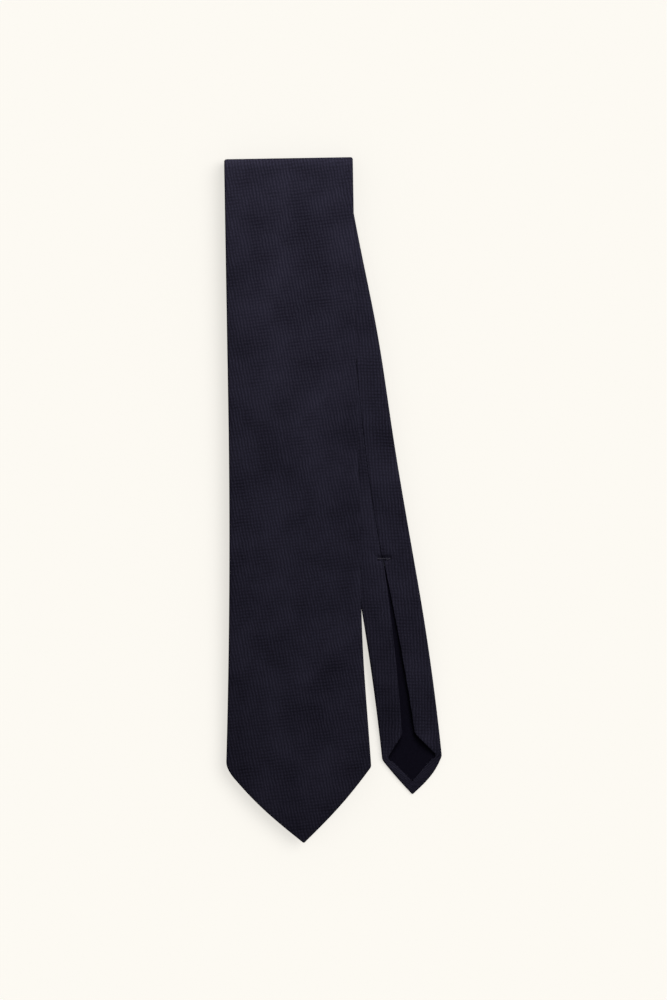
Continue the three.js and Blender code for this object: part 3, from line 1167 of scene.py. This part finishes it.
@dataclass
class Assembly:
    """What every sub-assembly shares: its body, its finishes and its needle."""

    body: Body
    finishes: dict[Slot, bpy.types.Material]
    needle: Needle
    made: list[bpy.types.Object] = field(default_factory=list)

    def finish_cloth(
        self, cloth: Cloth, slot: Slot, node: str, held: str, bends: Edge | None = None
    ) -> None:
        """Args:
            cloth: the cloth.
            slot: its material slot.
            node: the solid that it stands for.
            held: not used.
            bends: if given, the piece is baked in place and not put on the body; the heights themselves are
                not used.
        """
        piece = cloth.build(self.finishes[slot])
        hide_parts(node)
        if bends is None:
            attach(piece, self.body.value)
        else:
            start, end = ((0.0, 0.0, level * MM) for level in bends)
            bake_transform(piece)
        size, area = cloth.size()
        self.report(piece)

    def sew(
        self, name: str, path: Sequence[Sequence[float]], stitch: Stitch, slot: Slot, node: str = ""
    ) -> None:
        """Sews a line of stitches and puts it on its body.

        Args:
            name: the piece's name.
            path: the line's points.
            stitch: the kind of stitch.
            slot: the thread's material slot.
            node: the solid that it stands for, if any.
        """
        piece = self.needle.sew(name, path, stitch, self.finishes[slot])
        if node:
            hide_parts(node)
        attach(piece, self.body.value)
        self.report(piece)

    def report(self, piece: bpy.types.Object) -> None:
        """Keeps a piece and says how large its mesh is."""
        self.made.append(piece)
        LOG.info("%s: %d faces", piece.name, len(piece.data.polygons))


@dataclass
class FrontLeaf(Assembly):
    """A pointed leaf that hangs from the top fold: its shell, lining, threads and wrap."""

    plan: LeafPlan = BLADE_PLAN
    crease: Crease = BLADE_CREASE
    label: str = "blade"
    face: float = BLADE_Z + LEAF
    up: bool = False
    sink: Callable[[float], Callable[[float], float]] = blade_sink
    relief: Callable[[float, float], float] = blade_relief
    wrap_radius: float = TOP_AXIS_Z
    face_outside: bool = True
    rear_face: float = 0.0
    bends: Edge = (LEAF, BLADE_Z)
    wool_bends: Edge = (1.0, BLADE_Z + LEAF - 1.0)
    tack_half: float = 3.5
    tack_aside: float = 0.5
    tack_down: float = 0.8

    def stations(self, rows: Sequence[float]) -> list[Station]:
        """Stations on the flat leaf, at distances below its crease."""
        return [self.crease.leaf(v, self.face, self.up) for v in rows]

    def on_seam_side(self, v: float, u: float, height: float = LEAF) -> tuple[float, float, float]:
        """A point on the leaf.

        Args:
            v: distance below the crease.
            u: distance across.
            height: height from the face.

        Returns:
            The point.
        """
        way = 1.0 if self.up else -1.0
        level = self.face + way * height - self.sink(v)(u)
        return self.crease.point(v, level, u)

    def fold_stations(self) -> tuple[list[Station], list[FlapShape], list[Callable[[float], float]]]:
        """Stations round the wrap, with a reach of leaf at both ends.

        Returns:
            The stations, their flaps and how they sink, from the front leaf to the rear one.
        """
        upper = spread(FOLD_REACH, 0.0, 3.0)
        angles = spread(math.pi / 2, -math.pi / 2, math.pi / WRAP_STEPS)[1:-1]
        mid_radius = self.wrap_radius + (-LEAF if self.face_outside else LEAF) / 2
        stations = self.stations(upper)
        shapes = [self.plan.shape(v) for v in upper]
        sinks = [self.sink(v) for v in upper]
        seam = self.plan.seam(0.0)
        for angle in angles:
            along = -mid_radius * (math.pi / 2 - angle)
            stations.append(self.crease.wrap(angle, TOP_AXIS_Z, self.wrap_radius, self.face_outside, along))
            shapes.append(even_shape(self.plan.fold_half, seam))
        for reach in spread(0.0, FOLD_REACH, 3.0):
            share = reach / (REAR_LENGTH if self.face_outside else TAIL_RISE)
            along = -mid_radius * math.pi - reach
            stations.append(midway(self.crease, NECK_CREASE, share, self.rear_face, not self.up, along))
            rear = rear_blade_half(reach) if self.face_outside else rear_tail_half(TAIL_RISE - reach)
            shapes.append(even_shape(rear, seam * (1 - reach / FOLD_REACH)))
        sinks += [zero] * (len(stations) - len(sinks))
        return stations, shapes, sinks

    def make_shell(self) -> None:
        """The leaf's shell and the wrap that joins it to the rear half."""
        rows = self.plan.rows(FOLD_REACH)
        shapes = [self.plan.shape(v) for v in rows]
        sinks = [self.sink(v) for v in rows]
        name = f"{self.label}_front_shell"
        cloth = sew_sleeve(name, self.stations(rows), shapes, sinks, self.relief)
        self.finish_cloth(cloth, Slot.SHELL, f"{self.label}_panel_front", "folded")
        stations, shapes, sinks = self.fold_stations()
        cloth = sew_sleeve(f"{self.label}_fold_shell", stations, shapes, sinks, self.relief)
        self.finish_cloth(cloth, Slot.SHELL, f"{self.label}_fold", "folded", self.bends)

    def make_inside(self) -> None:
        """The interlining, its turn at the fold, and the tipping."""
        wool, thickness = f"{self.label}_interlining", INTERLINING
        rows = spread(FOLD_REACH, self.plan.apex - 7.0, 4.0)
        cloth = self.lay(f"{wool}_wool", rows, WOOL_MARGIN, INTERLINING_LEVEL, thickness)
        self.finish_cloth(cloth, Slot.WOOL, wool, "laid")
        stations, shapes, sinks = self.fold_stations()
        edges = [(s.left + WOOL_MARGIN, s.right - WOOL_MARGIN) for s in shapes]
        wool = f"{self.label}_fold_interlining"
        cloth = lay_sheet(f"{wool}_wool", stations, edges, INTERLINING_LEVEL, thickness, sinks)
        self.finish_cloth(cloth, Slot.WOOL, wool, "folded", self.wool_bends)
        tipping = f"{self.label}_tipping"
        rows = spread(self.plan.tipping_start - 14, self.plan.apex - 4.0, 2.0)
        cloth = self.lay(f"{tipping}_lining", rows, 1.3, TIPPING_LEVEL, TIPPING, 0.04, 25)
        self.finish_cloth(cloth, Slot.LINING, tipping, "laid")

    def lay(self, name: str, rows: Sequence[float], margin: float, *sheet: float) -> Cloth:
        """Lays a sheet inside the leaf.

        Args:
            name: the piece's name.
            rows: distances below the crease.
            margin: how far it stays from the shell's edges, never crossing.
            sheet: its level and thickness, and how it waves across and its columns if need be.

        Returns:
            The cloth.
        """
        edges = []
        for v in rows:
            left, right = self.plan.edges(v)
            gap = min(margin, 0.4 * (right - left))
            edges.append((left + gap, right - gap))
        sinks = [self.sink(v) for v in rows]
        level, thickness, *more = sheet
        return lay_sheet(name, self.stations(rows), edges, level, thickness, sinks, *more)

    def make_threads(self) -> None:
        """The slip stitches in the seam, the bar tack and the stitches of the hem."""
        plan = self.plan
        rows = spread(6.0, plan.tack - 6, 6.0)
        path = [self.on_seam_side(v, plan.seam(v) + SLIP_PLACE[0], SLIP_PLACE[1]) for v in rows]
        node = f"{self.label}_slip_stitch"
        self.sew(f"{self.label}_slip_stitches", path, SLIP_STITCH, Slot.SEWING, node)
        middle = plan.centre(plan.tack) + self.tack_aside
        square = math.tan(math.radians(self.crease.lean))
        path = []
        for u in spread(middle - self.tack_half, middle + self.tack_half, 0.8):
            down = plan.tack + self.tack_down + square * (u - middle)
            path.append(self.on_seam_side(down, u, LEAF - 0.08))
        node = f"{self.label}_bar_tack"
        self.sew(f"{node}_thread", path, BAR_WRAP, Slot.TACK, node)
        for side, word in ((-1, "left"), (1, "right")):
            rows = spread(plan.corner + 1.5, plan.apex - plan.mitre - 1, 1.0)
            depth = plan.shape(plan.corner + 4).height - 0.2
            path = [self.on_seam_side(v, plan.flap_edge(v, side) - side * 0.25, depth) for v in rows]
            self.sew(f"{self.label}_hem_stitches_{word}", path, HEM_STITCH, Slot.SEWING)

    def make(self) -> list[bpy.types.Object]:
        """Builds the whole leaf.

        Returns:
            Its pieces.
        """
        self.make_shell()
        self.make_inside()
        self.make_threads()
        return self.made


@dataclass
class Blade(FrontLeaf):
    """The wide front blade, face up on top of the pile, with its keeper loop behind."""

    keeper_half: float = 18.0
    keeper_width: float = 11.6
    keeper_down: float = 207.0
    keeper_level: float = BLADE_Z - 1.3
    keeper_layers: Edge = (0.14, 0.48)
    keeper_rise: float = 0.55

    def make_keeper(self) -> None:
        """A band of the shell's silk, folded flat and sewn down at both ends."""
        half = self.keeper_width / 2
        low, high = self.keeper_layers
        turn = (high - low) / 2
        corners = [(0.0, high), (0.5 * half, high)]
        for side in (1, -1):
            for angle in spread(0.0, math.pi, math.pi / 6):
                out = side * (half - turn + turn * math.sin(angle))
                corners.append((out, low + turn + turn * side * math.cos(angle)))
        corners += [(-0.5 * half, high), (0.0, high)]
        section = np.array(corners)
        rows, flats = [], []
        lengths = np.concatenate([[0], np.cumsum(np.linalg.norm(np.diff(section, axis=0), axis=1))])
        for u in spread(-self.keeper_half, self.keeper_half, 1.2):
            ends = self.keeper_rise * ramp(abs(u), self.keeper_half - 5, self.keeper_half - 1)
            level = self.keeper_level + ends - self.sink(self.keeper_down)(u)
            rows.append([self.crease.point(self.keeper_down + w, level + h, u) for w, h in section])
            flats.append([(u, length) for length in lengths])
        cloth = Cloth("blade_keeper_band", np.array(rows), np.array(flats), SLEEVE.cloth)
        self.finish_cloth(cloth, Slot.SHELL, "keeper_loop", "folded")
        for side, word in ((-1, "left"), (1, "right")):
            u = side * (self.keeper_half - 0.9)
            level = self.keeper_level + 0.45 - self.sink(self.keeper_down)(u)
            path = [self.crease.point(self.keeper_down + w, level, u) for w in spread(-4.8, 4.8, 1.0)]
            self.sew(f"keeper_end_stitches_{word}", path, HEM_STITCH, Slot.SEWING)

    def make(self) -> list[bpy.types.Object]:
        """Builds the blade.

        Returns:
            Its pieces.
        """
        super().make()
        self.make_keeper()
        return self.made


@dataclass
class RearHalves(Assembly):
    """The hidden halves of blade and tail, folded at the neck, in three pieced panels."""

    first_seam: float = 55.0
    second_seam: float = 284.0
    gap: float = 0.06

    def run(self) -> tuple[list[Station], list[FlapShape]]:
        """The run down the rear blade and round the neck.

        Returns:
            Its stations and flaps.
        """
        stations, shapes = [], []
        along = -math.pi * (TOP_AXIS_Z - LEAF / 2)
        for v in spread(FOLD_REACH, REAR_LENGTH, 6.0):
            stations.append(midway(BLADE_CREASE, NECK_CREASE, v / REAR_LENGTH, 0.0, True, along - v))
            shapes.append(even_shape(rear_blade_half(v)))
        along -= REAR_LENGTH
        radius = NECK_AXIS_Z - LEAF / 2
        for angle in spread(-math.pi / 2, -1.5 * math.pi, math.pi / WRAP_STEPS)[1:-1]:
            place = along + radius * (angle + math.pi / 2)
            stations.append(NECK_CREASE.wrap(angle, NECK_AXIS_Z, NECK_AXIS_Z, True, place))
            shapes.append(even_shape(NECK_HALF))
        return stations, shapes

    def rise(self, start: float, end: float) -> tuple[list[Station], list[FlapShape]]:
        """A stretch of the rear tail, its ends cut slantwise at the piecing seams.

        Args:
            start: where it starts, above the neck.
            end: where it ends.

        Returns:
            Its stations and flaps.
        """
        way = np.array([TAIL_CREASE.x - NECK_CREASE.x, TAIL_CREASE.y - NECK_CREASE.y, 0.0]) / TAIL_RISE
        stations, shapes = [], []
        offset = -math.pi * (TOP_AXIS_Z - LEAF / 2) - REAR_LENGTH - math.pi * (NECK_AXIS_Z - LEAF / 2)
        for w in spread(start, end, 4.0):
            nearest = min(abs(w - self.first_seam), abs(w - self.second_seam))
            skew = 1 - ramp(nearest, 0.5, 50)
            level = PITCH + LEAF
            flat = midway(NECK_CREASE, TAIL_CREASE, w / TAIL_RISE, level, False, offset - w)
            stations.append(replace(flat, shear=tuple(way * skew)))
            shapes.append(even_shape(rear_tail_half(w)))
        return stations, shapes

    def make(self) -> list[bpy.types.Object]:
        """Builds the panels, the interlining and the seam's threads.

        Returns:
            The pieces.
        """
        stations, shapes = self.run()
        gap = self.gap
        more, flaps = self.rise(0.0, self.first_seam - gap)
        gusset = self.rise(self.first_seam + gap, self.second_seam - gap)
        tail = self.rise(self.second_seam + gap, TAIL_RISE - FOLD_REACH)
        for name, places, flaps, node in (
            ("rear_blade_shell", stations + more, shapes + flaps, "blade_panel_rear"),
            ("neck_gusset_shell", *gusset, "neck_gusset"),
            ("rear_tail_shell", *tail, "tail_panel_rear"),
        ):
            cloth = sew_sleeve(name, places, flaps, [zero] * len(places))
            self.finish_cloth(cloth, Slot.SHELL, node, "folded")
        more, flaps = self.rise(0.0, TAIL_RISE - FOLD_REACH)
        plain = [replace(s, shear=(0.0, 0.0, 0.0)) for s in stations + more]
        edges = [(s.left + WOOL_MARGIN, s.right - WOOL_MARGIN) for s in shapes + flaps]
        name, sinks = "neck_interlining", [zero] * len(plain)
        cloth = lay_sheet(f"{name}_wool", plain, edges, INTERLINING_LEVEL, INTERLINING, sinks)
        self.finish_cloth(cloth, Slot.WOOL, name, "folded")
        path = [s.place(np.array([SLIP_PLACE]), zero)[0] for s in plain]
        name = "rear_slip_stitches_thread"
        self.sew(name, path, SLIP_STITCH, Slot.SEWING, "rear_slip_stitch")
        return self.made


# ---- stage ----


@dataclass(frozen=True)
class Stage:
    """A plain cream table, soft studio light from the upper right and a camera straight above."""

    floor_half: float = 12.0
    backdrop_height: float = 4.0
    cream: tuple[float, float, float] = (0.90, 0.876, 0.821)
    glow: float = 0.739
    backdrop_glow: float = 1.09
    fill: float = 0.16
    key: float = 0.74
    key_softness: float = 44.0
    silk_light: float = 5.3
    silk_light_size: float = 0.35
    silk_light_from: tuple[float, float, float] = (0.14, 0.56, 0.42)
    key_from: tuple[float, float, float] = (0.62, 0.34, 1.0)
    lens: float = 200.0
    frame_height: float = 0.550
    aim: tuple[float, float] = (0.00022, -0.00028)

    def make_ground(
        self, name: str, albedo: float, glow: float, points: list, faces: list
    ) -> bpy.types.Object:
        """Makes a plain cream surface of the stage.

        Args:
            name: its name.
            albedo: how much of the cream it reflects.
            glow: how much of the cream it sends out by itself.
            points: its corners.
            faces: its faces, by corner.

        Returns:
            The surface.
        """
        graph = Graph(f"cream_{name}")
        graph.set(
            Base_Color=tint(*self.cream, albedo),
            Roughness=1.0,
            Specular_IOR_Level=0.0,
            Emission_Color=tint(*self.cream),
            Emission_Strength=glow,
        )
        mesh = bpy.data.meshes.new(name)
        mesh.from_pydata(points, [], faces)
        mesh.materials.append(graph.material)
        ground = link_new(name, mesh)
        return ground

    def make_surroundings(self) -> None:
        """The table top, and plain walls at its far edges which light nothing."""
        half, down = self.floor_half, -0.0001
        corners = [(-half, -half), (half, -half), (half, half), (-half, half)]
        points = [(x, y, z) for z in (down, self.backdrop_height) for x, y in corners]
        self.make_ground("table", 1.0, self.glow, points[:4], [(0, 1, 2, 3)])
        walls = [(i, i + 4, (i + 1) % 4 + 4, (i + 1) % 4) for i in range(4)]
        backdrop = self.make_ground("backdrop", 0.0, self.backdrop_glow, points, walls)
        backdrop.visible_diffuse = False
        backdrop.visible_glossy = False
        backdrop.visible_shadow = False

    def make_light(self) -> None:
        """An even fill and one soft key."""
        world = bpy.data.worlds.new("studio_fill")
        world.use_nodes = True
        sky = world.node_tree.nodes["Background"].inputs
        sky["Strength"].default_value = self.fill
        sky["Color"].default_value = (1.0, 1.0, 1.0, 1.0)
        bpy.context.scene.world = world
        sun = bpy.data.lights.new("key", "SUN")
        sun.energy = self.key
        sun.angle = math.radians(self.key_softness)
        lamp = link_new("key", sun)
        lamp.rotation_euler = Vector(self.key_from).to_track_quat("Z", "Y").to_euler()

    def light_silk(self, lit: Sequence[bpy.types.Object]) -> None:
        """A soft box beyond the fold, for the cloth alone.

        Args:
            lit: the pieces that it lights.
        """
        box = bpy.data.lights.new("soft_box", "AREA")
        box.energy = self.silk_light
        box.size = self.silk_light_size
        stand = link_new("soft_box", box)
        stand.location = self.silk_light_from
        aim = Vector(self.silk_light_from) - Vector((0.0, 0.05, 0.0))
        stand.rotation_euler = aim.to_track_quat("Z", "Y").to_euler()
        only = bpy.data.collections.new("lit_by_soft_box")
        for piece in lit:
            only.objects.link(piece)
        stand.light_linking.receiver_collection = only

    def make_camera(self) -> None:
        """A long lens straight above the pile."""
        camera = bpy.data.cameras.new("camera")
        camera.lens = self.lens
        camera.clip_end = 50.0
        distance = self.frame_height / 2 / (camera.sensor_width / 2 / camera.lens)
        stand = link_new("camera", camera)
        stand.location = (*self.aim, distance + TAIL_Z * MM)
        bpy.context.scene.camera = stand
        bpy.context.scene.view_settings.view_transform = "Standard"

    def make(self) -> None:
        """Sets the whole stage."""
        self.make_camera()
        self.make_light()
        self.make_surroundings()


def main() -> None:
    """Builds the tie on its stage."""
    logging.basicConfig(level=logging.INFO, format="%(message)s")
    stage = Stage()
    stage.make()
    finishes, needle = make_finishes(), Needle()
    made = RearHalves(Body.REAR, finishes, needle).make()
    made += FrontLeaf(
        Body.TAIL, finishes, needle, plan=TAIL_PLAN, crease=TAIL_CREASE, label="tail", face=TAIL_Z, up=True,
        sink=tail_sink, relief=zero, wrap_radius=CLEAR / 2, face_outside=False,
        rear_face=PITCH + LEAF, bends=(PITCH + LEAF, TAIL_Z), wool_bends=(PITCH + LEAF - 0.2, TAIL_Z + 0.2),
    ).make()
    made += Blade(Body.BLADE, finishes, needle).make()
    stage.light_silk(made)


if __name__ == "__main__":
    main()
